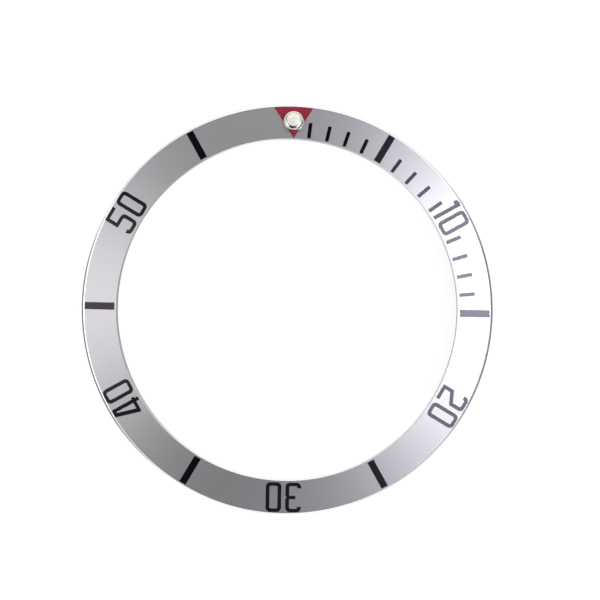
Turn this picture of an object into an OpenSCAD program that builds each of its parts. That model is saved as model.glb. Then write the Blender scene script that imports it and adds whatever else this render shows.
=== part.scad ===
// Sloping bezel insert of a diver's watch: an anodised aluminium ring with filled minute
// markings, numerals at every ten minutes and a luminous pearl in a red triangle at twelve.
// Millimetres. The origin is the centre of the ring in the plane it rests on, +Z is up
// through the face, and +Y points to the twelve o'clock mark. Minutes run clockwise.

/* [Ring] */
// Outside diameter, the wall that sits in the recess of the bezel
outer_d = 38; // [34:0.1:42]
// Width of the ring, from the outer wall to the bore that goes round the crystal's ring
ring_w = 3.35; // [3:0.05:4]
// Height of the sloping face over the seat, where its line meets the outer wall
rim_h = 0.85; // [0.7:0.05:1.2]
// Slope of the face, falling outwards, in degrees
slope_a = 18; // [10:0.5:22]
// Radius of the rounded outer edge
edge_r = 0.3; // [0.2:0.05:0.45]
// Width of the broken edge round the bore
lip_c = 0.08; // [0.03:0.01:0.15]
// Lead-in chamfer at the foot of the outer wall
foot_c = 0.1; // [0.03:0.01:0.15]
// Width of the flat land that the ring rests on
land_w = 0.65; // [0.4:0.05:1]

/* [Engraving] */
// Distance from the bore to the inner ends of the marks
mark_in = 0.26; // [0.2:0.01:0.45]
// Distance from the outer ends of the marks to the rounded edge
mark_out = 0.09; // [0.02:0.01:0.3]
// Depth of the engraved pockets
pocket_d = 0.12; // [0.06:0.01:0.18]
// How far the fills lie under the face
fill_low = 0.02; // [0.005:0.005:0.04]

/* [Bars and ticks] */
// Width of the bars at every ten minutes from five
bar_w = 0.66; // [0.3:0.02:1]
// Width of the single minute ticks
tick_w = 0.34; // [0.2:0.02:0.5]
// Length of the single minute ticks
tick_l = 1.45; // [0.8:0.05:2]
// Radius of the ticks' corners
tick_r = 0.07; // [0.03:0.01:0.09]

/* [Numerals] */
// Width of a numeral
num_w = 1.44; // [1.2:0.02:1.6]
// Gap between the two numerals of a number
num_gap = 0.38; // [0.2:0.02:0.6]
// Width of the upright strokes
stem_w = 0.35; // [0.2:0.01:0.36]
// Width of the level strokes
level_w = 0.33; // [0.18:0.01:0.34]
// Outer radius of the round corners
num_r = 0.42; // [0.3:0.02:0.55]
// Inner radius of the round corners
num_in_r = 0.14; // [0.06:0.01:0.2]
// Straight length of the open ends of 2, 3 and 5 past their round corners
hook_l = 0.06; // [0.02:0.01:0.15]
// Width of the 1
one_w = 0.69; // [0.55:0.01:0.8]
// Height of the end of the flag of the 1 below its round top
one_flag = 0.14; // [0.08:0.01:0.2]
// Sideways shift of the 10, which is narrower than the other numbers
ten_shift = -0.14; // [-0.3:0.02:0.3]
// Height of the left end of the diagonal of the 2, as a share of the numeral's height
two_left = 0.32; // [0.28:0.01:0.36]
// Height of the right end of the diagonal of the 2, as a share of the numeral's height
two_right = 0.51; // [0.48:0.01:0.56]
// Upright width of the diagonal of the 2, as a share of the numeral's height
two_rise = 0.075; // [0.04:0.005:0.09]
// Width of the middle bar of the 3
three_bar_w = 0.34; // [0.2:0.01:0.38]
// Place of the open end of the middle bar of the 3, as a share of the numeral's width
three_bar_x = 0.36; // [0.3:0.01:0.45]
// Depth of the notch between the bowls of the 3
three_notch = 0.1; // [0.04:0.01:0.15]
// Height of the notch between the bowls of the 3
three_notch_h = 0.32; // [0.2:0.02:0.4]
// Height of the middle bar of the 5, as a share of the numeral's height
five_mid = 0.55; // [0.5:0.01:0.6]
// Height of the crossbar of the 4, as a share of the numeral's height
four_bar = 0.175; // [0.14:0.005:0.25]
// Width of the 4, with the end of its crossbar
four_w = 1.52; // [1.4:0.02:1.7]
// Width of the flat top of the 4
four_top = 0.73; // [0.6:0.01:0.9]
// Length of the crossbar of the 4 to the right of its stem
four_tail = 0.16; // [0.08:0.01:0.3]
// Level width of the slanting stroke of the 4
four_slant_w = 0.4; // [0.25:0.01:0.45]
// Height of the solid top of the 4 over its opening
four_apex = 0.34; // [0.25:0.01:0.45]

/* [Triangle] */
// Width of the triangle at the outer edge of the face
tri_w = 3.62; // [2.8:0.02:4]
// Distance from the bore to the tip of the triangle
tri_in = 0.14; // [0.1:0.01:0.4]
// Distance from the base of the triangle to the rounded edge
tri_out = 0.05; // [0.02:0.01:0.3]
// How far the tip lies clockwise of the middle of the base, in degrees round the ring
tri_skew = 0.3; // [-1:0.1:1]
// Turn of the triangle and its pearl clockwise from the twelve o'clock line, in degrees
tri_turn = 0.8; // [-2:0.1:2]

/* [Pearl] */
// Diameter of the collar of the pearl's cup
collar_d = 1.92; // [1.86:0.02:2.1]
// Height of the collar above the face
collar_h = 0.5; // [0.4:0.05:0.6]
// Depth of the seat that the collar sits in
seat_d = 0.2; // [0.15:0.01:0.3]
// Diameter of the cup's barrel, which goes through the ring
barrel_d = 1.58; // [1.5:0.02:1.7]
// Bore of the cup, which holds the luminous fill and the lens
cup_bore_d = 1.32; // [1.2:0.02:1.4]
// Width of the cup's lip round the lens
lip_w = 0.04; // [0.02:0.01:0.06]
// Thickness of the cup's floor
cup_floor = 0.15; // [0.1:0.01:0.25]
// How far the cup stays short of the underside of the ring
cup_short = 0.08; // [0.04:0.01:0.15]
// Depth of the lens's edge in the cup
lens_sit = 0.12; // [0.08:0.01:0.2]
// Height of the lens's crown above the lip
lens_crown = 0.25; // [0.1:0.01:0.35]
// Place of the pearl's centre outwards from the middle of the marks
pearl_out = 0.08; // [0:0.01:0.12]
// Clearance round the cup in its hole, and round the fill and the lens in the cup
pearl_fit = 0.01; // [0.005:0.005:0.02]

/* [Hidden] */
$fn = 180;

// Angle between two minutes
minute_a = 360 / 60;
// Bars stand between the numerals, and ticks fill the first quarter between bars and numerals
bar_minutes = [for (m = [5:10:55]) m];
tick_minutes = [for (m = [1:14]) if (m % 5 != 0) m];
tens_names = ["one", "two", "three", "four", "five"];

// Points of the face, of its underside and of the rounded outer edge
outer_r = outer_d / 2;
inner_r = outer_r - ring_w;
land_r = outer_r - land_w;
edge_c = [outer_r - edge_r, rim_h + edge_r * tan(slope_a) - edge_r / cos(slope_a)];
face_r = edge_c.x + edge_r * sin(slope_a);
function face_z(r) = rim_h + (outer_r - r) * tan(slope_a);
function under_z(r) = (land_r - r) * tan(slope_a);

// The band that holds the marks, from their inner to their outer ends
mark_r0 = inner_r + mark_in;
mark_r1 = face_r - mark_out;
mark_h = mark_r1 - mark_r0;

// Cutters run past the ring by this much
over = 0.5;
// Top of the upright prisms that cut the marks
prism_top = face_z(inner_r) + over;

// The pearl stands square to the face. Its depths are measured from the face along its axis.
pearl_r = (mark_r0 + mark_r1) / 2 + pearl_out;
sheet_t = (face_z(pearl_r) - under_z(pearl_r)) * cos(slope_a);
barrel_l = sheet_t - cup_short;
barrel_c = 0.05;
collar_round = (collar_d - cup_bore_d) / 2 - lip_w;

function two_digits(m) = m < 10 ? str("0", m) : str(m);

metal = [0.80, 0.81, 0.82];
steel = [0.66, 0.65, 0.63];
black = [0.09, 0.08, 0.09];
red = [0.59, 0.18, 0.23];
cream = [0.91, 0.90, 0.86];
clear = [0.95, 0.97, 0.96, 0.5];

// Points of an arc round c from angle a0 to a1, with more steps where the radius is larger
function arc(c, r, a0, a1) =
    let (n = r < 0.2 ? 3 : 6)
    [for (i = [0:n]) c + r * [cos(a0 + (a1 - a0) * i / n), sin(a0 + (a1 - a0) * i / n)]];

// Outlines. Each lies with x sideways and y from the numeral's foot outwards.

module round_box(x0, y0, x1, y1, r) {
    polygon(concat(
        arc([x1 - r, y1 - r], r, 0, 90),
        arc([x0 + r, y1 - r], r, 90, 180),
        arc([x0 + r, y0 + r], r, 180, 270),
        arc([x1 - r, y0 + r], r, 270, 360)));
}

module zero() {
    difference() {
        round_box(0, 0, num_w, mark_h, num_r);
        round_box(stem_w, level_w, num_w - stem_w, mark_h - level_w, num_in_r);
    }
}

// The 1 has a short rounded flag
module one() {
    flag_r = one_w - stem_w;
    flag_y = mark_h - flag_r - one_flag;
    polygon(concat(
        [[flag_r, 0], [one_w, 0], [one_w, mark_h]],
        arc([flag_r, mark_h - flag_r], flag_r, 90, 180),
        [[flag_r / 2, flag_y], [flag_r, flag_y]]));
}

// Height of the open end of a hook from the foot or the top of the numeral
hook_y = max(num_r, level_w + num_in_r) + hook_l;
// Centres of the outer and inner corner arcs: the first of each pair is left or low
out_x = [num_r, num_w - num_r];
out_y = [num_r, mark_h - num_r];
in_x = [stem_w + num_in_r, num_w - stem_w - num_in_r];
in_y = [level_w + num_in_r, mark_h - level_w - num_in_r];

// The open ends of 2, 3 and 5. A top hook runs from its outside to the top, and a bottom
// hook from the foot to its outside. The inner sides run back the other way.
top_hook_out = concat([[0, mark_h - hook_y]], arc([out_x[0], out_y[1]], num_r, 180, 90));
top_hook_in = concat(arc([in_x[0], in_y[1]], num_in_r, 90, 180), [[stem_w, mark_h - hook_y]]);
foot_hook_out = concat(arc([out_x[0], out_y[0]], num_r, 270, 180), [[0, hook_y]]);
foot_hook_in = concat([[stem_w, hook_y]], arc([in_x[0], in_y[0]], num_in_r, 180, 270));

// The 2 runs from its hook round the top, down a shallow diagonal to the left and to its foot
module two() {
    right_low = two_right * mark_h;
    right_top = (two_right + two_rise) * mark_h;
    left_low = two_left * mark_h;
    left_top = (two_left + two_rise) * mark_h;
    polygon(concat(
        top_hook_out,
        arc([out_x[1], out_y[1]], num_r, 90, 0),
        [[num_w, right_low], [stem_w, left_low], [stem_w, level_w]],
        [[num_w, level_w], [num_w, 0], [0, 0], [0, left_top]],
        [[num_w - stem_w, right_top]],
        arc([in_x[1], in_y[1]], num_in_r, 0, 90),
        top_hook_in));
}

// The 3 has two square bowls, a notch between them and a short middle bar
module three() {
    mid = mark_h / 2;
    bar_half = three_bar_w / 2;
    bar_x = three_bar_x * num_w;
    notch_half = three_notch_h / 2;
    polygon(concat(
        top_hook_out,
        arc([out_x[1], out_y[1]], num_r, 90, 0),
        [[num_w, mid + notch_half], [num_w - three_notch, mid]],
        [[num_w, mid - notch_half]],
        arc([out_x[1], out_y[0]], num_r, 0, -90),
        foot_hook_out,
        foot_hook_in,
        arc([in_x[1], in_y[0]], num_in_r, 270, 360),
        [[num_w - stem_w, mid - bar_half], [bar_x, mid - bar_half]],
        [[bar_x, mid + bar_half], [num_w - stem_w, mid + bar_half]],
        arc([in_x[1], in_y[1]], num_in_r, 0, 90),
        top_hook_in));
}

// The 4 has a flat top, a slanting left side and a crossbar that passes its stem
module four() {
    stem_x = four_w - four_tail;
    bar_low = four_bar * mark_h - level_w / 2;
    bar_top = four_bar * mark_h + level_w / 2;
    corner_y = bar_low + level_w / 2;
    top_x = stem_x - four_top;
    slant = top_x / (mark_h - corner_y);
    apex_y = mark_h - four_apex;
    function inner_x(y) = slant * (y - corner_y) + four_slant_w;
    difference() {
        polygon([
            [0, bar_low], [stem_x - stem_w, bar_low], [stem_x - stem_w, 0], [stem_x, 0],
            [stem_x, bar_low], [four_w, bar_low], [four_w, bar_top],
            [stem_x, bar_top], [stem_x, mark_h], [top_x, mark_h], [0, corner_y]]);
        polygon([
            [inner_x(bar_top), bar_top], [stem_x - stem_w, bar_top],
            [stem_x - stem_w, apex_y], [inner_x(apex_y), apex_y]]);
    }
}

// The 5 has a square top left corner, a round bowl and a bottom hook
module five() {
    mid_top = five_mid * mark_h + level_w / 2;
    mid_low = five_mid * mark_h - level_w / 2;
    polygon(concat(
        [[0, mark_h], [num_w, mark_h], [num_w, mark_h - level_w], [stem_w, mark_h - level_w]],
        [[stem_w, mid_top]],
        arc([out_x[1], mid_top - num_r], num_r, 90, 0),
        arc([out_x[1], out_y[0]], num_r, 0, -90),
        foot_hook_out,
        foot_hook_in,
        arc([in_x[1], in_y[0]], num_in_r, 270, 360),
        arc([in_x[1], mid_low - num_in_r], num_in_r, 0, 90),
        [[0, mid_low]]));
}

module tens(i) {
    if (i == 1) one();
    if (i == 2) two();
    if (i == 3) three();
    if (i == 4) four();
    if (i == 5) five();
}

// Left edges of the two numerals of a number. The gap between them lies on the minute's line,
// but the 10 is centred on its line by its width and then shifted.
tens_w = [one_w, num_w, num_w, four_w, num_w];
ten_x = ten_shift - (one_w + num_gap + num_w) / 2;
function tens_x(i) = i == 1 ? ten_x : -num_gap / 2 - tens_w[i - 1];
function zero_x(i) = i == 1 ? ten_x + one_w + num_gap : num_gap / 2;

module bar_outline() {
    translate([-bar_w / 2, mark_r0]) square([bar_w, mark_h]);
}

module tick_outline() {
    round_box(-tick_w / 2, mark_r0, tick_w / 2, mark_r0 + tick_l, tick_r);
}

module tens_outline(i) {
    translate([tens_x(i), mark_r0]) tens(i);
}

module zero_outline(i) {
    translate([zero_x(i), mark_r0]) zero();
}

// The triangle's base follows the round edge of the face
module triangle_outline() {
    tip_r = inner_r + tri_in;
    base_r = face_r - tri_out;
    half_a = asin(tri_w / 2 / base_r);
    tip_a = 90 - tri_skew / 2;
    base_a = 90 + tri_skew / 2;
    polygon(concat(
        [tip_r * [cos(tip_a), sin(tip_a)]],
        arc([0, 0], base_r, base_a - half_a, base_a + half_a)));
}

// Turns a piece drawn at twelve o'clock to its minute
module at_minute(m) {
    rotate([0, 0, -minute_a * m]) children();
}

module at_triangle() {
    rotate([0, 0, -tri_turn]) children();
}

// Stands a piece on the face at the pearl, with its own axis square to the slope
module at_pearl() {
    at_triangle() translate([0, pearl_r, face_z(pearl_r)]) rotate([-slope_a, 0, 0]) children();
}

module prism() {
    linear_extrude(height = prism_top) children();
}

// The layer under the sloping face from depth d0 down to depth d1
module face_layer(d0, d1) {
    r0 = inner_r - over;
    r1 = outer_r + over;
    rotate_extrude() polygon([
        [r0, face_z(r0) - d1], [r1, face_z(r1) - d1],
        [r1, face_z(r1) - d0], [r0, face_z(r0) - d0]]);
}

// A mark's fill: its outline between the floor of its pocket and just under the face
module fill() {
    intersection() {
        face_layer(fill_low, pocket_d);
        children();
    }
}

// All engraved pockets, cut from the same outlines as their fills
module pockets() {
    intersection() {
        face_layer(-over, pocket_d);
        union() {
            for (m = bar_minutes) at_minute(m) prism() bar_outline();
            for (m = tick_minutes) at_minute(m) prism() tick_outline();
            for (i = [1:5]) at_minute(10 * i) prism() tens_outline(i);
            for (i = [1:5]) at_minute(10 * i) prism() zero_outline(i);
            at_triangle() prism() triangle_outline();
        }
    }
}

// The stepped hole for the pearl: a bore for the barrel and a seat for the collar
module pearl_hole() {
    at_pearl() {
        translate([0, 0, -sheet_t - over])
            cylinder(h = sheet_t + over, d = barrel_d + 2 * pearl_fit);
        translate([0, 0, -seat_d]) cylinder(h = seat_d + over, d = collar_d + 2 * pearl_fit);
    }
}

// Section of the ring: flat land, outer wall, rounded edge, sloping face and bore
module ring_section() {
    polygon(concat(
        [[inner_r, under_z(inner_r)], [land_r, 0], [outer_r - foot_c, 0], [outer_r, foot_c]],
        arc(edge_c, edge_r, 0, 90 - slope_a),
        [[inner_r + lip_c, face_z(inner_r + lip_c)], [inner_r, face_z(inner_r + lip_c) - lip_c]]));
}

module insert_ring() {
    color(metal) difference() {
        rotate_extrude() ring_section();
        pockets();
        pearl_hole();
    }
}

// Section of the cup: barrel, collar with a round shoulder, and bore
module cup_section() {
    barrel_r = barrel_d / 2;
    collar_r = collar_d / 2;
    shoulder = [collar_r - collar_round, collar_h - collar_round];
    difference() {
        union() {
            polygon([
                [0, -barrel_l], [barrel_r - barrel_c, -barrel_l], [barrel_r, -barrel_l + barrel_c],
                [barrel_r, -seat_d], [0, -seat_d]]);
            translate([0, -seat_d]) square([collar_r, seat_d + shoulder.y]);
            translate([0, shoulder.y]) square([shoulder.x, collar_round]);
            intersection() {
                translate(shoulder) circle(r = collar_round);
                translate(shoulder) square(2 * collar_round);
            }
        }
        translate([0, cup_floor - barrel_l]) square([cup_bore_d / 2, barrel_l + collar_h]);
    }
}

module pearl_cup() {
    color(steel) at_pearl() rotate_extrude() cup_section();
}

module pearl_lume() {
    color(cream) at_pearl() translate([0, 0, cup_floor - barrel_l])
        cylinder(h = barrel_l - cup_floor + collar_h - lens_sit, d = cup_bore_d - 2 * pearl_fit);
}

// A flat lens edge in the cup and a round crown above its lip
module pearl_lens() {
    lens_r = cup_bore_d / 2 - pearl_fit;
    crown_r = (lens_r * lens_r + lens_crown * lens_crown) / (2 * lens_crown);
    color(clear) at_pearl() rotate_extrude() intersection() {
        translate([0, collar_h - lens_sit]) square([lens_r, lens_sit + lens_crown + over]);
        translate([0, collar_h + lens_crown - crown_r]) circle(r = crown_r);
    }
}

// The pearl's seat crosses the whole width of the triangle and leaves a head and a tip. Their
// border lies inside the seat.
tri_split = pearl_r - collar_d / 4;

module triangle_fill() {
    difference() {
        at_triangle() fill() prism() triangle_outline();
        pearl_hole();
    }
}

module triangle_half(y0, y1) {
    half_w = tri_w;
    intersection() {
        triangle_fill();
        at_triangle() translate([-half_w, y0, 0]) cube([2 * half_w, y1 - y0, prism_top]);
    }
}

module triangle_head() {
    color(red) triangle_half(tri_split, outer_r);
}

module triangle_tip() {
    color(red) triangle_half(inner_r, tri_split);
}

module bar(m) {
    color(black) at_minute(m) fill() prism() bar_outline();
}

module tick(m) {
    color(black) at_minute(m) fill() prism() tick_outline();
}

module numeral_tens(i) {
    color(black) at_minute(10 * i) fill() prism() tens_outline(i);
}

module numeral_zero(i) {
    color(black) at_minute(10 * i) fill() prism() zero_outline(i);
}

insert_ring();
pearl_cup();
pearl_lume();
pearl_lens();
triangle_head();
triangle_tip();
for (m = bar_minutes)
    bar(m);
for (m = tick_minutes)
    tick(m);
for (i = [1:5])
    numeral_tens(i);
for (i = [1:5])
    numeral_zero(i);
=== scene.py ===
# %% [markdown]
# # A bezel insert for a diver's watch
# The insert is a thin ring with a sloping face, which is pressed into the rotating bezel of the
# watch. Its minute markings are engraved and filled with enamel, and a luminous pearl stands in
# the red triangle at twelve. The shapes come from a CAD model, which is loaded first and never
# moved. This lesson gives it a studio, real finishes, and finer copies of its pieces.

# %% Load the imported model
from math import asin, cos, degrees, pi, radians, sin, tan

import bpy
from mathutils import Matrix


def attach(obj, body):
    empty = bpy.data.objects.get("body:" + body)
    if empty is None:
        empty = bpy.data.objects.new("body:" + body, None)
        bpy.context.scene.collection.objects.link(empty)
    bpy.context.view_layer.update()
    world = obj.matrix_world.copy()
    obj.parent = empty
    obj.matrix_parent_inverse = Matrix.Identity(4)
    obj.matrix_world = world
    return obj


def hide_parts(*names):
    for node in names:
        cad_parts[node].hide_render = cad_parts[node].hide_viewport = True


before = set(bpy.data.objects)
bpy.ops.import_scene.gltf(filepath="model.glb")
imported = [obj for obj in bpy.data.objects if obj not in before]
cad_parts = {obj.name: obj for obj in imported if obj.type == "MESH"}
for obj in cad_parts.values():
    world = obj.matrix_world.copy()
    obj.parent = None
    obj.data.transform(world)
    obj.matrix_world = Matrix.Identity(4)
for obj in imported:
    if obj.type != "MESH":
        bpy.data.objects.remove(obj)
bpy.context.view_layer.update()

MM = 0.001

# %% [markdown]
# ## The camera
# The photograph looks straight down on the ring from about 300 mm, where perspective is slight.
# The ring's centre lies a little left of and below the middle of the picture, and its twelve
# o'clock mark is turned a little clockwise. So the camera hangs level, turned the other way by
# the same angle, and a little to the right of the centre and behind it. A long lens fills the
# picture with the ring.

# %% Camera
PHOTO_PX = 600
PX_PER_MM = 10.81
CAMERA_HEIGHT = 300 * MM
# Height over the floor at which the scale above was measured, the middle of the face
SCALE_HEIGHT = 0.5 * MM
ROLL = radians(1.195)
# Place of the ring's centre in the picture, from the middle, rightwards and upwards
CENTRE_PX = (-12.8, -9.7)

camera_data = bpy.data.cameras.new("photo_camera")
camera = bpy.data.objects.new("photo_camera", camera_data)
bpy.context.scene.collection.objects.link(camera)
camera_data.sensor_width = 36
frame_width = PHOTO_PX / PX_PER_MM * MM
camera_data.lens = camera_data.sensor_width * (CAMERA_HEIGHT - SCALE_HEIGHT) / frame_width
camera_data.clip_start = 10 * MM
right, up = (-c / PX_PER_MM * MM for c in CENTRE_PX)
camera.location = (
    right * cos(ROLL) - up * sin(ROLL),
    right * sin(ROLL) + up * cos(ROLL),
    CAMERA_HEIGHT,
)
camera.rotation_euler = (0, 0, ROLL)
bpy.context.scene.camera = camera
bpy.context.scene.view_settings.view_transform = "Standard"
print("lens", round(camera_data.lens, 1), "mm")

# %% [markdown]
# ## Colours and nodes
# Colours are written as they look on a screen, in hex, and one function turns them to the linear
# values that Blender's shaders expect. Another adds a node with its settings and its links, so
# that a material reads as a list of what it is made of.

# %% Colour and node helpers
def linear(hex_colour):
    """A screen colour such as #9a2f3e as linear red, green, blue and alpha."""
    parts = [int(hex_colour[i:i + 2], 16) / 255 for i in (1, 3, 5)]
    return tuple(p / 12.92 if p <= 0.04045 else ((p + 0.055) / 1.055) ** 2.4 for p in parts) + (1,)


def add_node(tree, kind, inputs={}, **settings):
    """Adds a node. Each input goes by its name or its number, and is a value, a node whose first
    output is linked to it, or an output."""
    node = tree.nodes.new("ShaderNode" + kind)
    for name, value in settings.items():
        setattr(node, name, value)
    for name, value in inputs.items():
        if isinstance(value, bpy.types.Node):
            value = value.outputs[0]
        if isinstance(value, bpy.types.NodeSocket):
            tree.links.new(value, node.inputs[name])
        else:
            node.inputs[name].default_value = value
    return node


# %% [markdown]
# ## The floor
# The insert lies on a plain white floor. The camera and mirror-like surfaces see it glow, and the
# light that falls on it adds the rest. Where the ring keeps light from it, the floor is a shade
# darker, and that is the ring's soft shadow. Right and left of the ring, mirror-like surfaces see
# the floor dark. This is a painted reflection of two dark cards that the camera never sees. It
# draws the thin dark lines along the right and left of the ring's two edges.

# %% Floor
# Side of the floor in metres, so that no view sees its edge
FLOOR_SIDE = 4
FLOOR_GLOW = 0.86
FLOOR_GLOW_IN_METAL = 1.0
# Glow of the painted dark reflections that only mirror-like surfaces see on the right and left
DARK_REFLECTION_GLOW = 0.03
FLOOR_GREY = "#8c8c8c"
# Directions of the middles of the painted dark reflections, clockwise from twelve, and how
# squarely a place must lie in such a direction for the painted reflection to begin and to be full,
# as the cosine of the angle between them
DARK_REFLECTION_TOWARDS = (90, 258)
DARK_REFLECTION_FROM, DARK_REFLECTION_FULL = 0.72, 0.97

bpy.ops.object.select_all(action="DESELECT")
bpy.ops.mesh.primitive_plane_add(size=FLOOR_SIDE, location=(0, 0, 0))
floor = bpy.context.object
floor.name = "floor"
white_board = bpy.data.materials.new("matt_white_board")
white_board.use_nodes = True
tree = white_board.node_tree
tree.nodes.clear()
place = add_node(tree, "TexCoord").outputs["Object"]
towards = add_node(tree, "VectorMath", {0: place}, operation="NORMALIZE")
# Painted reflection: two dark patches on the floor that only glossy rays see
right_dark_reflection, left_dark_reflection = (add_node(tree, "VectorMath", {
    0: towards, 1: (sin(radians(turn)), cos(radians(turn)), 0)}, operation="DOT_PRODUCT")
    for turn in DARK_REFLECTION_TOWARDS)
in_dark_reflection = add_node(tree, "Math", {
    0: right_dark_reflection.outputs["Value"], 1: left_dark_reflection.outputs["Value"]}, operation="MAXIMUM")
metal_glow = add_node(tree, "MapRange", {
    "Value": in_dark_reflection, "From Min": DARK_REFLECTION_FROM, "From Max": DARK_REFLECTION_FULL,
    "To Min": FLOOR_GLOW_IN_METAL, "To Max": DARK_REFLECTION_GLOW}, interpolation_type="SMOOTHSTEP")

light_path = add_node(tree, "LightPath").outputs
seen = add_node(tree, "Math", {
    0: light_path["Is Camera Ray"], 1: light_path["Is Transmission Ray"]}, operation="MAXIMUM")
seen_glow = add_node(tree, "Math", {0: seen, 1: FLOOR_GLOW}, operation="MULTIPLY")
# Glossy rays see the floor glow, except in the painted dark reflections on the right and left
metal_glow = add_node(tree, "Math", {
    0: light_path["Is Glossy Ray"], 1: metal_glow}, operation="MULTIPLY")
glow = add_node(tree, "Math", {0: seen_glow, 1: metal_glow}, operation="MAXIMUM")
glow = add_node(tree, "Emission", {"Strength": glow})
board = add_node(tree, "BsdfDiffuse", {"Color": linear(FLOOR_GREY)})
glowing_board = add_node(tree, "AddShader", {0: board, 1: glow})
add_node(tree, "OutputMaterial", {"Surface": glowing_board})
floor.data.materials.append(white_board)

# %% [markdown]
# ## The light
# Seen from above, a cone of satin metal reflects the part of the room that lies about 39 degrees
# from straight up, on the side that each part of the ring faces. So the studio has a strong
# softbox, the key, bent round the right side at that height, which fades over a long way and has
# a weak piece at either end. Two weaker softboxes stand on the left, one below the other, and a
# faint one in front. The glossy marks mirror only a small patch of the room each: they stay black
# where it is dark and turn grey step by step into the key. Pale walls stand low round the ring
# and light the matt parts. They are dimmer on the right, and brighter behind and in front, so the
# ring's edge melts into the floor there. Over the front wall they leave a gap where the
# photographer stands, which the pearl's collar mirrors as a dark crescent. The ceiling is dim,
# and only over the back. All are painted into the world by direction, which costs no lamp and
# casts soft shadows.

# %% World
# Angle from straight up at which the face mirrors the room to the camera
MIRROR_ANGLE = 39

world = bpy.data.worlds.new("studio")
bpy.context.scene.world = world
world.use_nodes = True
tree = world.node_tree
tree.nodes.clear()
direction = add_node(tree, "TexCoord").outputs["Generated"]
axes = add_node(tree, "SeparateXYZ", {0: direction}).outputs
from_top = add_node(tree, "Math", {0: axes["Z"]}, operation="ARCCOSINE")
from_axis = add_node(tree, "VectorMath", {0: direction, 1: (1, 1, 0)}, operation="MULTIPLY")
from_axis = add_node(tree, "VectorMath", {0: from_axis}, operation="LENGTH").outputs["Value"]


def fade(angle, half_width, soft):
    """1 within the half width and 0 past it, with a soft border between, in degrees."""
    return add_node(tree, "MapRange", {
        "Value": angle, "To Min": 1.0, "To Max": 0.0,
        "From Min": radians(half_width - soft / 2),
        "From Max": radians(half_width + soft / 2)}, interpolation_type="SMOOTHSTEP")


def softbox(colour, strength, centre, width, width_soft, rise, height, height_soft):
    """A light of this world. Its centre is a clockwise direction from twelve o'clock and an
    angle from straight up, and its width and height run both ways from there."""
    towards = (sin(radians(centre)), cos(radians(centre)), 0)
    along = add_node(tree, "VectorMath", {0: direction, 1: towards}, operation="DOT_PRODUCT")
    turn = add_node(tree, "Math", {0: along.outputs["Value"], 1: from_axis}, operation="DIVIDE")
    turn = add_node(tree, "Math", {0: turn}, operation="ARCCOSINE")
    off = add_node(tree, "Math", {0: from_top, 1: radians(rise)}, operation="SUBTRACT")
    off = add_node(tree, "Math", {0: off}, operation="ABSOLUTE")
    shape = add_node(tree, "Math", {
        0: fade(turn, width, width_soft), 1: fade(off, height, height_soft)}, operation="MULTIPLY")
    level = add_node(tree, "Math", {0: shape, 1: strength}, operation="MULTIPLY")
    return add_node(tree, "Background", {"Color": linear(colour), "Strength": level})


# Each light is a colour, a strength, a direction with half its width and the width of its soft
# border, and an angle from straight up with half its height and the height of its soft border
LIGHTS = {
    "key": ("#f3f4ff", 7.1, 84.5, 34, 56, MIRROR_ANGLE, 7.5, 4),
    "key end": ("#f3f4ff", 1.45, 133, 13, 10, MIRROR_ANGLE, 12, 6),
    "key start": ("#f3f4ff", 1.0, 44, 12, 16, 55, 8, 6),
    "fill": ("#fdfcff", 1.15, 271, 24, 36, MIRROR_ANGLE, 14, 8),
    "low fill": ("#fdfcff", 1.9, 271, 30, 20, 52, 7, 6),
    "front": ("#ffffff", 0.17, 170, 22, 28, MIRROR_ANGLE, 20, 12),
    "walls": ("#fffdff", 1.0, 317, 108, 20, 67, 14, 8),
    "right wall": ("#fffdff", 0.65, 122, 57, 20, 67, 14, 8),
    "left wall": ("#ffffff", 0.35, 266, 40, 30, 65, 15, 8),
    "back wall": ("#ffffff", 0.75, 2, 34, 30, 74, 15, 8),
    "front wall": ("#fffbff", 1.2, 184, 30, 30, 77, 13, 8),
    "ceiling": ("#ffffff", 0.35, 0, 75, 40, 14, 16, 8),
}
light = None
for name, settings in LIGHTS.items():
    one = softbox(*settings)
    light = one if light is None else add_node(tree, "AddShader", {0: light, 1: one})
add_node(tree, "OutputWorld", {"Surface": light})
print("lights of the studio:", ", ".join(LIGHTS))

# %% [markdown]
# ## Sizes of the ring
# The finer copies are drawn from the sizes of the CAD model, in millimetres. Only the round of
# the outer edge and the chamfer of the lip are a few hundredths larger, because the lines that
# they draw in the photograph are that broad.

# %% Sizes
OUTER_R = 19
RING_WIDTH = 3.35
RIM_HEIGHT = 0.85
SLOPE = radians(18)
EDGE_R = 0.36
LIP_CHAMFER = 0.12
FOOT_CHAMFER = 0.1
LAND_WIDTH = 0.65

INNER_R = OUTER_R - RING_WIDTH
LAND_R = OUTER_R - LAND_WIDTH


def face_height(radius):
    """Height of the sloping face over the floor."""
    return RIM_HEIGHT + (OUTER_R - radius) * tan(SLOPE)


def under_height(radius):
    """Height of the sloping underside over the floor."""
    return (LAND_R - radius) * tan(SLOPE)


# %% [markdown]
# ## Drawing and turning a section
# The ring and the pearl are turned on a lathe, so each starts as half of its section. By hand,
# a section is drawn by adding a plane, merging it to one corner, and extruding that corner from
# point to point. Spin then turns it once round. Spun skins can come out inside out, so doubles
# are merged and the normals are made to point outwards.

# %% Section helpers
# Corners closer than this, in metres, are one corner
SAME_PLACE = 1e-7


def edit(piece):
    """Makes a piece the only selected one and enters edit mode."""
    bpy.ops.object.select_all(action="DESELECT")
    piece.select_set(True)
    bpy.context.view_layer.objects.active = piece
    bpy.ops.object.mode_set(mode="EDIT")


def leave():
    """Goes back to object mode."""
    bpy.ops.object.mode_set(mode="OBJECT")


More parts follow.
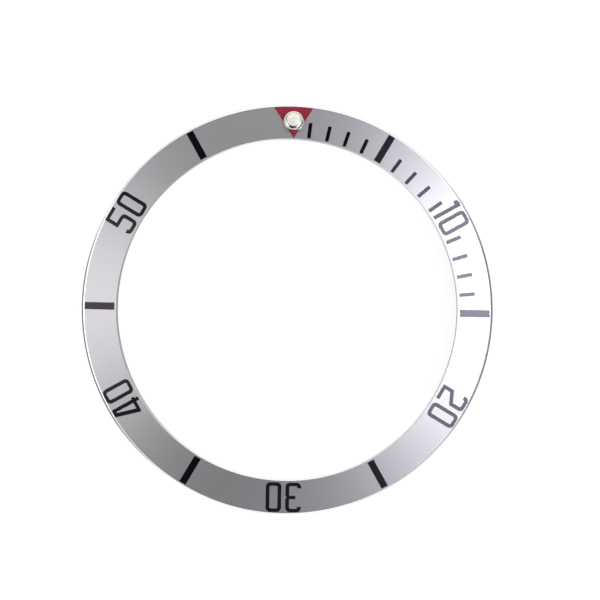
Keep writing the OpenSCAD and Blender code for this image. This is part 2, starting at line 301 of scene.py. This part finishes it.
def turn_section(name, points, steps, closed):
    """A piece spun round Z from the points (across, up) of its half section, in mm."""
    bpy.ops.object.select_all(action="DESELECT")
    bpy.ops.mesh.primitive_plane_add(size=MM, location=(0, 0, 0))
    piece = bpy.context.object
    piece.name = piece.data.name = name
    edit(piece)
    bpy.ops.mesh.select_mode(type="VERT")
    bpy.ops.mesh.select_all(action="SELECT")
    bpy.ops.mesh.merge(type="CENTER")
    x, z = points[0]
    bpy.ops.transform.translate(value=(x * MM, 0, z * MM))
    for (x0, z0), (x1, z1) in zip(points, points[1:]):
        step = ((x1 - x0) * MM, 0, (z1 - z0) * MM)
        bpy.ops.mesh.extrude_vertices_move(TRANSFORM_OT_translate={"value": step})
    if closed:
        # The last corner is joined to the first one
        bpy.ops.mesh.select_all(action="DESELECT")
        leave()
        for vertex in (piece.data.vertices[0], piece.data.vertices[-1]):
            vertex.select = True
        edit(piece)
        bpy.ops.mesh.edge_face_add()
    bpy.ops.mesh.select_all(action="SELECT")
    bpy.ops.mesh.spin(steps=steps, angle=2 * pi, center=(0, 0, 0), axis=(0, 0, 1))
    bpy.ops.mesh.select_all(action="SELECT")
    bpy.ops.mesh.remove_doubles(threshold=SAME_PLACE)
    bpy.ops.mesh.normals_make_consistent(inside=False)
    leave()
    return piece


def arc(centre, radius, start, end, steps):
    """Points (across, up) of an arc, with its ends, from one angle to another in degrees."""
    turns = [radians(start + (end - start) * i / steps) for i in range(steps + 1)]
    return [(centre[0] + radius * cos(t), centre[1] + radius * sin(t)) for t in turns]


def bevel_rim(piece, across_up, width, segments):
    """Bevels the round edge that a corner of the section has become."""
    edit(piece)
    bpy.ops.mesh.select_mode(type="EDGE")
    bpy.ops.mesh.select_all(action="DESELECT")
    leave()
    x, z = (c * MM for c in across_up)
    near = 0.005 * MM
    on_rim = [abs(v.co.to_2d().length - x) < near and abs(v.co.z - z) < near
              for v in piece.data.vertices]
    for e in piece.data.edges:
        e.select = all(on_rim[i] for i in e.vertices)
    picked = sum(e.select for e in piece.data.edges)
    edit(piece)
    bpy.ops.mesh.bevel(offset=width * MM, segments=segments, profile=0.5)
    leave()
    return picked


# %% [markdown]
# ## The ring
# The real ring is turned from aluminium sheet. Its section has five sides: the flat land that it
# rests on, the outer wall, the sloping face, the bore and the sloping underside. Once it is spun,
# its edges are bevelled: the outer edge of the face is well rounded, the lip at the bore gets a
# flat chamfer, and the feet of the bore and the outer wall are only broken. The bevel's width is
# the distance from the corner to where the bevel begins. Two more points of the section hold the
# face flat right up to its bevels, where smooth shading would otherwise bend it.

# %% Ring
RING_STEPS = 480
RIM_SEGMENTS = 10
BORE_FOOT_BEVEL = 0.05
# Distance from a bevel to the point that holds the face flat beside it
HOLD = 0.02
rim_bevel = EDGE_R * tan((pi / 2 - SLOPE) / 2)
face_end = OUTER_R - (rim_bevel + HOLD) * cos(SLOPE)
face_start = INNER_R + (LIP_CHAMFER + HOLD) * cos(SLOPE)
ring_corners = {
    "bore foot": (INNER_R, under_height(INNER_R)),
    "land": (LAND_R, 0),
    "foot": (OUTER_R, 0),
    "rim": (OUTER_R, RIM_HEIGHT),
    "face end": (face_end, face_height(face_end)),
    "face start": (face_start, face_height(face_start)),
    "lip": (INNER_R, face_height(INNER_R)),
}
ring = turn_section("ring", list(ring_corners.values()), RING_STEPS, closed=True)
for corner, width, segments in (
        ("rim", rim_bevel, RIM_SEGMENTS), ("foot", FOOT_CHAMFER, 2), ("lip", LIP_CHAMFER, 1),
        ("bore foot", BORE_FOOT_BEVEL, 2)):
    picked = bevel_rim(ring, ring_corners[corner], width, segments)
    print("bevelled", picked, "edges at the", corner)

# %% [markdown]
# ## Engraving
# Each mark is a pocket in the face with the same outline as its fill. A copy of each fill is
# merged, because a CAD mesh is loose triangles, and its top is extruded upwards out of the face.
# Joined, these copies cut all pockets with one Boolean modifier. The stepped hole for the pearl
# is cut by a turned plug in the same way.

# %% Copies of the fills
# How far a cutter stands out of the face
CUTTER_RISE = 0.5
# A face whose normal rises by more than this looks up
LOOKS_UP = 0.5
marks = {name: node for name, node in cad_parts.items()
         if not name.startswith(("insert_ring", "pearl"))}


def merged_copy(node, name):
    """A copy of a CAD node whose loose triangles are joined."""
    piece = node.copy()
    piece.data = node.data.copy()
    piece.parent = None
    piece.name = piece.data.name = name
    bpy.context.scene.collection.objects.link(piece)
    edit(piece)
    bpy.ops.mesh.select_all(action="SELECT")
    bpy.ops.mesh.customdata_custom_splitnormals_clear()
    bpy.ops.mesh.remove_doubles(threshold=SAME_PLACE)
    leave()
    return piece


def pick_top(piece):
    """Selects the faces that look up, and leaves the piece in edit mode."""
    edit(piece)
    bpy.ops.mesh.select_mode(type="FACE")
    bpy.ops.mesh.select_all(action="DESELECT")
    leave()
    for face in piece.data.polygons:
        face.select = face.normal.z > LOOKS_UP
    edit(piece)


cutters = []
for name, node in marks.items():
    cutter = merged_copy(node, "cutter_" + name)
    pick_top(cutter)
    bpy.ops.mesh.extrude_region_move(
        TRANSFORM_OT_translate={"value": (0, 0, CUTTER_RISE * MM)})
    leave()
    cutters.append(cutter)
print(len(cutters), "cutters")

# %% [markdown]
# ## The pearl's place
# The pearl stands square to the sloping face, a little clockwise of twelve. Its pieces are
# turned upright round Z, with the face at height 0, and then put in place together. Each ends
# with its place in its mesh and its object at the origin.

# %% Pearl sizes and placing
PEARL_R = 17.3864
PEARL_TURN = radians(-0.8)
COLLAR_R = 0.96
COLLAR_HEIGHT = 0.5
SEAT_DEPTH = 0.2
BARREL_R = 0.79
CUP_R = 0.66
LIP_WIDTH = 0.02
# Slope of the shoulder where it meets the lip
SHOULDER_START = radians(22)
CUP_FLOOR = 0.15
# How deep the lens sits in the cup, how high it stands over the lip, and its walls
LENS_SIT = 0.12
LENS_CROWN = 0.25
LENS_WALL = 0.02
LENS_TOP_WALL = 0.06
LENS_EDGE_WALL = 0.01
# Gaps round a fitted piece, and between the compound and the lens
FIT = 0.01
LUME_FIT = 0.004
PEARL_STEPS = 96
ARC_STEPS = 12
# How far above the underside the barrel ends
BARREL_SHORT = 0.08
SHEET = (face_height(PEARL_R) - under_height(PEARL_R)) * cos(SLOPE)
BARREL_LENGTH = SHEET - BARREL_SHORT
pearl_place = (
    -PEARL_R * MM * sin(PEARL_TURN), PEARL_R * MM * cos(PEARL_TURN), face_height(PEARL_R) * MM)
pearl_lean = (-SLOPE, 0, PEARL_TURN)


def set_on_face(piece):
    """Moves an upright piece to the pearl's place and applies that to its mesh."""
    piece.location = pearl_place
    piece.rotation_euler = pearl_lean
    bpy.ops.object.select_all(action="DESELECT")
    piece.select_set(True)
    bpy.context.view_layer.objects.active = piece
    bpy.ops.object.transform_apply(location=True, rotation=True, scale=True)


# %% Cut the ring
hole = turn_section("cutter_pearl", [
    (0, -SHEET - CUTTER_RISE), (BARREL_R + FIT, -SHEET - CUTTER_RISE),
    (BARREL_R + FIT, -SEAT_DEPTH), (COLLAR_R + FIT, -SEAT_DEPTH), (COLLAR_R + FIT, CUTTER_RISE),
    (0, CUTTER_RISE)], PEARL_STEPS, closed=False)
set_on_face(hole)
cutters.append(hole)


def cut(piece, tool):
    """Cuts one piece with another by a Boolean modifier, which is then applied."""
    bpy.ops.object.select_all(action="DESELECT")
    piece.select_set(True)
    bpy.context.view_layer.objects.active = piece
    boolean = piece.modifiers.new("cut", "BOOLEAN")
    boolean.operation = "DIFFERENCE"
    boolean.solver = "EXACT"
    boolean.object = tool
    bpy.ops.object.modifier_apply(modifier=boolean.name)


def join(pieces):
    """Joins pieces into the first one."""
    bpy.ops.object.select_all(action="DESELECT")
    for p in pieces:
        p.select_set(True)
    bpy.context.view_layer.objects.active = pieces[0]
    bpy.ops.object.join()
    return pieces[0]


marks_tool = join(cutters[:-1])
for tool in (marks_tool, hole):
    cut(ring, tool)
    bpy.data.objects.remove(tool)
print("the engraved ring has", len(ring.data.polygons), "faces")

# %% [markdown]
# ## Enamel fills
# Enamel is flooded into the pockets and shrinks as it dries, so it meets the walls a little
# higher than its middle. Insetting the top of each fill and lowering the inner part gives that
# shallow dish, which catches a thin line of light along the edges.

# %% Enamel fills
DISH_WIDTH = 0.03
DISH_DEPTH = 0.004
fills = {}
for name, node in marks.items():
    fill = merged_copy(node, name + "_enamel")
    pick_top(fill)
    bpy.ops.mesh.inset(thickness=DISH_WIDTH * MM, depth=-DISH_DEPTH * MM)
    leave()
    fills[name] = fill
print(len(fills), "enamel fills")

# %% [markdown]
# ## The pearl
# The pearl is a small steel cup with a round-shouldered collar. The shoulder leaves the flat lip
# at a slope of 22 degrees, so the lip shows as a thin bright line of its own. The cup is filled
# to a dome with a luminous compound, and a clear lens of acrylic covers that like a watch glass.
# All three are turned from their sections.

# %% Pearl
BARREL_CHAMFER = 0.05
shoulder_r = (COLLAR_R - CUP_R - LIP_WIDTH) / (1 - sin(SHOULDER_START))
shoulder = (COLLAR_R - shoulder_r, COLLAR_HEIGHT - shoulder_r * cos(SHOULDER_START))
cup_foot = CUP_FLOOR - BARREL_LENGTH
cup = turn_section("pearl_cup_steel", [
    (0, -BARREL_LENGTH), (BARREL_R - BARREL_CHAMFER, -BARREL_LENGTH),
    (BARREL_R, -BARREL_LENGTH + BARREL_CHAMFER), (BARREL_R, -SEAT_DEPTH),
    (COLLAR_R, -SEAT_DEPTH)]
    + arc(shoulder, shoulder_r, 0, 90 - degrees(SHOULDER_START), ARC_STEPS)
    + [(CUP_R, COLLAR_HEIGHT), (CUP_R, cup_foot), (0, cup_foot)],
    PEARL_STEPS, closed=False)


def dome(half_width, edge_height, top_height):
    """Points of a dome's half section from its edge to its top."""
    rise = top_height - edge_height
    radius = (half_width ** 2 + rise ** 2) / (2 * rise)
    start = 90 - degrees(asin(half_width / radius))
    return arc((0, top_height - radius), radius, start, 90, ARC_STEPS)


lens_r = CUP_R - FIT
lens_foot = COLLAR_HEIGHT - LENS_SIT
lens_top = COLLAR_HEIGHT + LENS_CROWN
hollow_r = lens_r - LENS_WALL
hollow_edge = COLLAR_HEIGHT - LENS_EDGE_WALL
hollow_top = lens_top - LENS_TOP_WALL
lens = turn_section("pearl_lens_clear",
    dome(hollow_r, hollow_edge, hollow_top)[::-1]
    + [(hollow_r, lens_foot), (lens_r, lens_foot)]
    + dome(lens_r, COLLAR_HEIGHT, lens_top), PEARL_STEPS, closed=False)
lume = turn_section("pearl_lume_compound",
    [(0, cup_foot), (hollow_r - LUME_FIT, cup_foot)]
    + dome(hollow_r - LUME_FIT, hollow_edge - LUME_FIT, hollow_top - LUME_FIT),
    PEARL_STEPS, closed=False)
for piece in (cup, lens, lume):
    set_on_face(piece)
print("the pearl is", round(2 * COLLAR_R, 2), "mm across")

# %% [markdown]
# ## A finish
# Each finish starts from what the real one is. A material is named for it and has one Principled
# shader, and the nodes ahead of that vary its colour, roughness and grain over the surface. All
# patterns are laid in Object coordinates, which are metres here, so a pattern of a given size in
# millimetres has a scale of 1000 divided by that size.

# %% Finish helpers
def new_finish(name):
    """An empty material and its node tree."""
    finish = bpy.data.materials.new(name)
    finish.use_nodes = True
    finish.node_tree.nodes.clear()
    return finish, finish.node_tree


def per_mm(size):
    """Scale of a pattern that repeats about every so many millimetres."""
    return 1000 / size


# %% [markdown]
# ## Anodised aluminium
# The ring is turned, its face is etched to a satin, and it is anodised clear. The etch leaves a
# grain of about a tenth of a millimetre that softens reflections. The clear film is a little
# cloudy over some millimetres and has picked up a few faint specks. These are laid out in plan,
# so on the upright walls a speck becomes a faint line. The rounded outer edge and the lip at the
# bore are turned bright after the etch, so they have no grain, reflect sharply and draw thin
# lines round the ring. The outer edge is also a little paler. Their place is found by the
# distance from the ring's axis.

# %% Anodised aluminium
aluminium, tree = new_finish("anodised_aluminium_satin")
place = add_node(tree, "TexCoord").outputs["Object"]
flat = add_node(tree, "VectorMath", {0: place, 1: (1, 1, 0)}, operation="MULTIPLY")
radius = add_node(tree, "VectorMath", {0: flat}, operation="LENGTH").outputs["Value"]
RIM_BORDER, LIP_BORDER = 0.02, 0.002
bright_rim_r = OUTER_R - EDGE_R * (1 - sin(SLOPE))
on_rim = add_node(tree, "MapRange", {
    "Value": radius, "From Min": (bright_rim_r - RIM_BORDER) * MM,
    "From Max": (bright_rim_r + RIM_BORDER) * MM})
bright_lip_r = INNER_R + LIP_CHAMFER * cos(SLOPE)
on_lip = add_node(tree, "MapRange", {
    "Value": radius, "From Min": (bright_lip_r + LIP_BORDER) * MM,
    "From Max": (bright_lip_r - LIP_BORDER) * MM})
turned_bright = add_node(tree, "Math", {0: on_rim, 1: on_lip}, operation="MAXIMUM")

grain = add_node(tree, "TexNoise", {"Vector": place, "Scale": per_mm(0.12), "Detail": 2.0})
etched = add_node(tree, "MapRange", {
    "Value": grain, "From Min": 0.3, "From Max": 0.7, "To Min": 0.38, "To Max": 0.44})
roughness = add_node(tree, "MapRange", {
    "Value": turned_bright, "To Min": etched, "To Max": 0.22})

clouds = add_node(tree, "TexNoise", {"Vector": place, "Scale": per_mm(4), "Detail": 3.0})
film = add_node(tree, "MixRGB", {
    "Fac": clouds, "Color1": linear("#cccbcc"), "Color2": linear("#c7c6c8")})
specks = add_node(tree, "TexVoronoi", {"Vector": place, "Scale": per_mm(5)},
    voronoi_dimensions="2D")
speck = add_node(tree, "MapRange", {
    "Value": specks.outputs["Distance"], "From Min": 0.008, "From Max": 0.02,
    "To Min": 0.35, "To Max": 0.0})
film = add_node(tree, "MixRGB", {"Fac": speck, "Color1": film, "Color2": linear("#a3a09e")})
film = add_node(tree, "MixRGB", {"Fac": on_rim, "Color1": film, "Color2": linear("#e4e4e6")})

etched_only = add_node(tree, "MapRange", {"Value": turned_bright, "To Min": 0.5, "To Max": 0.0})
relief = add_node(tree, "Bump", {
    "Height": grain, "Strength": etched_only, "Distance": 0.003 * MM})
satin = add_node(tree, "BsdfPrincipled", {
    "Base Color": film, "Metallic": 1.0, "Roughness": roughness, "Normal": relief})
add_node(tree, "OutputMaterial", {"Surface": satin})

# %% [markdown]
# ## Enamel
# Stoved enamel fills the marks: black in the scale and a dark crimson in the triangle. It dries
# glossy but not flat. Its surface has a fine orange peel, its gloss varies a little, and its
# colour is a touch uneven, because the coat is thinner in places. Where the strong light is
# mirrored in it, the black looks a violet grey, which a tint of its gloss gives.

# %% Enamel
def enamel(name, deep, thin, gloss_from, gloss_to, sheen_tint):
    """An enamel between a deep and a thin colour, with a varying gloss."""
    finish, tree = new_finish(name)
    place = add_node(tree, "TexCoord").outputs["Object"]
    patches = add_node(tree, "TexNoise", {"Vector": place, "Scale": per_mm(0.8), "Detail": 3.0})
    coat = add_node(tree, "MixRGB", {
        "Fac": patches, "Color1": linear(deep), "Color2": linear(thin)})
    peel = add_node(tree, "TexNoise", {"Vector": place, "Scale": per_mm(0.25), "Detail": 1.0})
    gloss = add_node(tree, "MapRange", {
        "Value": peel, "From Min": 0.3, "From Max": 0.7, "To Min": gloss_from, "To Max": gloss_to})
    relief = add_node(tree, "Bump", {"Height": peel, "Strength": 0.4, "Distance": 0.002 * MM})
    paint = add_node(tree, "BsdfPrincipled", {
        "Base Color": coat, "Roughness": gloss, "IOR": 1.6,
        "Specular Tint": linear(sheen_tint), "Normal": relief})
    add_node(tree, "OutputMaterial", {"Surface": paint})
    return finish


black = enamel("stoved_enamel_black", "#0a080b", "#151118", 0.12, 0.17, "#fbf0ff")
red = enamel("stoved_enamel_crimson", "#932b3b", "#a13443", 0.2, 0.27, "#ffffff")

# %% [markdown]
# ## Polished steel
# The pearl's cup is a turned steel part with polished edges. Its last cuts leave rings about
# 0.05 mm apart round its own axis, which a Mapping node centres on the pearl.

# %% Polished steel
steel, tree = new_finish("stainless_steel_turned_polished")
place = add_node(tree, "TexCoord").outputs["Object"]
local = add_node(tree, "Mapping", {
    "Vector": place, "Location": pearl_place, "Rotation": pearl_lean}, vector_type="TEXTURE")
flat = add_node(tree, "VectorMath", {0: local, 1: (1, 1, 0)}, operation="MULTIPLY")
radius = add_node(tree, "VectorMath", {0: flat}, operation="LENGTH").outputs["Value"]
rings = add_node(tree, "TexNoise", {"W": radius, "Scale": per_mm(0.05), "Detail": 1.0},
    noise_dimensions="1D")
smears = add_node(tree, "TexNoise", {"Vector": place, "Scale": per_mm(0.3), "Detail": 2.0})
polish = add_node(tree, "MapRange", {
    "Value": smears, "From Min": 0.3, "From Max": 0.7, "To Min": 0.07, "To Max": 0.13})
relief = add_node(tree, "Bump", {"Height": rings, "Strength": 0.3, "Distance": 0.001 * MM})
tint = add_node(tree, "MixRGB", {
    "Fac": smears, "Color1": linear("#d8d4cd"), "Color2": linear("#cdc8c0")})
metal = add_node(tree, "BsdfPrincipled", {
    "Base Color": tint, "Metallic": 1.0, "Roughness": polish, "Normal": relief})
add_node(tree, "OutputMaterial", {"Surface": metal})

# %% [markdown]
# ## Luminous compound
# The compound is a paste of pale phosphor grains in lacquer. By day it is a chalky cream with a
# breath of green. The grains are about 0.03 mm, and are drawn at 0.06 mm so that they show. It is
# given a faint glow of its own. This is painted light that keeps it pale where its lens shades it.

# %% Luminous compound
compound, tree = new_finish("luminous_compound")
place = add_node(tree, "TexCoord").outputs["Object"]
grains = add_node(tree, "TexNoise", {"Vector": place, "Scale": per_mm(0.06), "Detail": 2.0})
paste = add_node(tree, "MixRGB", {
    "Fac": grains, "Color1": linear("#fdfcf3"), "Color2": linear("#f2f2e6")})
relief = add_node(tree, "Bump", {"Height": grains, "Strength": 0.2, "Distance": 0.002 * MM})
# The emission is painted light that keeps the compound pale under its lens
chalky = add_node(tree, "BsdfPrincipled", {
    "Base Color": paste, "Roughness": 0.7, "Normal": relief,
    "Emission Color": linear("#f6f5ec"), "Emission Strength": 0.32})
add_node(tree, "OutputMaterial", {"Surface": chalky})

# %% [markdown]
# ## Clear acrylic
# The lens is cast acrylic. It is clear and smooth, and only a faint waviness of some tenths of a
# millimetre from the casting bends what it reflects.

# %% Clear acrylic
acrylic, tree = new_finish("cast_acrylic_clear")
place = add_node(tree, "TexCoord").outputs["Object"]
waves = add_node(tree, "TexNoise", {"Vector": place, "Scale": per_mm(0.4), "Detail": 1.0})
relief = add_node(tree, "Bump", {"Height": waves, "Strength": 0.1, "Distance": 0.002 * MM})
clear = add_node(tree, "BsdfPrincipled", {
    "Base Color": linear("#ffffff"), "Transmission Weight": 1.0, "IOR": 1.49, "Roughness": 0.03,
    "Normal": relief})
add_node(tree, "OutputMaterial", {"Surface": clear})
print("finishes:", ", ".join(m.name for m in (aluminium, black, red, steel, compound, acrylic)))

# %% [markdown]
# ## Dressing the pieces
# Each piece gets its finish, rides on the model's one body, and replaces its CAD node in the
# picture. Turned pieces are shaded smooth up to 35 degrees. The fills keep the edge of their
# shallow dish, so their angle is smaller.

# %% Dress the pieces
TURNED_SMOOTH, FILL_SMOOTH = 35, 5


def dress(piece, finish, node, smooth_angle):
    """Gives a piece its finish, shades it, and sets it on the model's body for its node."""
    piece.data.materials.clear()
    piece.data.materials.append(finish)
    bpy.ops.object.select_all(action="DESELECT")
    piece.select_set(True)
    bpy.context.view_layer.objects.active = piece
    bpy.ops.object.shade_smooth_by_angle(angle=radians(smooth_angle))
    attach(piece, "root")
    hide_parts(node)


dress(ring, aluminium, "insert_ring", TURNED_SMOOTH)
dress(cup, steel, "pearl_cup", TURNED_SMOOTH)
dress(lens, acrylic, "pearl_lens", TURNED_SMOOTH)
dress(lume, compound, "pearl_lume", TURNED_SMOOTH)
for name, fill in fills.items():
    if name.startswith("triangle"):
        dress(fill, red, name, FILL_SMOOTH)
    else:
        dress(fill, black, name, FILL_SMOOTH)
